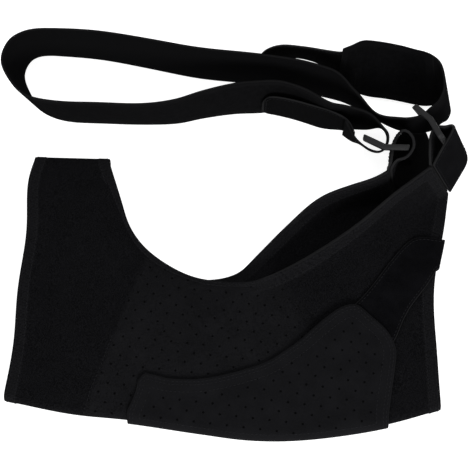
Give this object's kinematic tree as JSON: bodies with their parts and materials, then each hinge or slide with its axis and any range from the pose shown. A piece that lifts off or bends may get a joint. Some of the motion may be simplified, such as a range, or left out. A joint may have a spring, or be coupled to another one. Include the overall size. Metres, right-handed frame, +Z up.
{
  "type": "shoulder brace",
  "caption": "Single-shoulder brace of black perforated neoprene, laid flat, with a long webbing strap looped through plastic ring buckles.",
  "frame": {"origin": "centre of the bottom of the whole brace, on the surface it lies on", "axes": "+X from the shoulder fold towards the ring tabs, +Y from the bottom fold towards the strap's far run, +Z up"},
  "size_m": [0.4072, 0.3616, 0.0635],
  "materials": {
    "neoprene": "perforated neoprene with a knit face, matte",
    "cuff": "perforated laminate, matte",
    "plush": "short looped plush, matte",
    "webbing": "woven elastic webbing, soft sheen",
    "hook": "hook tape, matte",
    "plastic": "moulded plastic, satin"
  },
  "bodies": {
    "root": {"body_panel": "neoprene", "cuff_panel": "cuff", "closing_band": "plush", "front_ring_tab": "plush", "back_ring_tab": "plush", "front_ring": "plastic", "back_ring": "plastic", "strap": "webbing", "near_hook_tab": "hook", "far_hook_tab": "hook"}
  },
  "joints": []
}
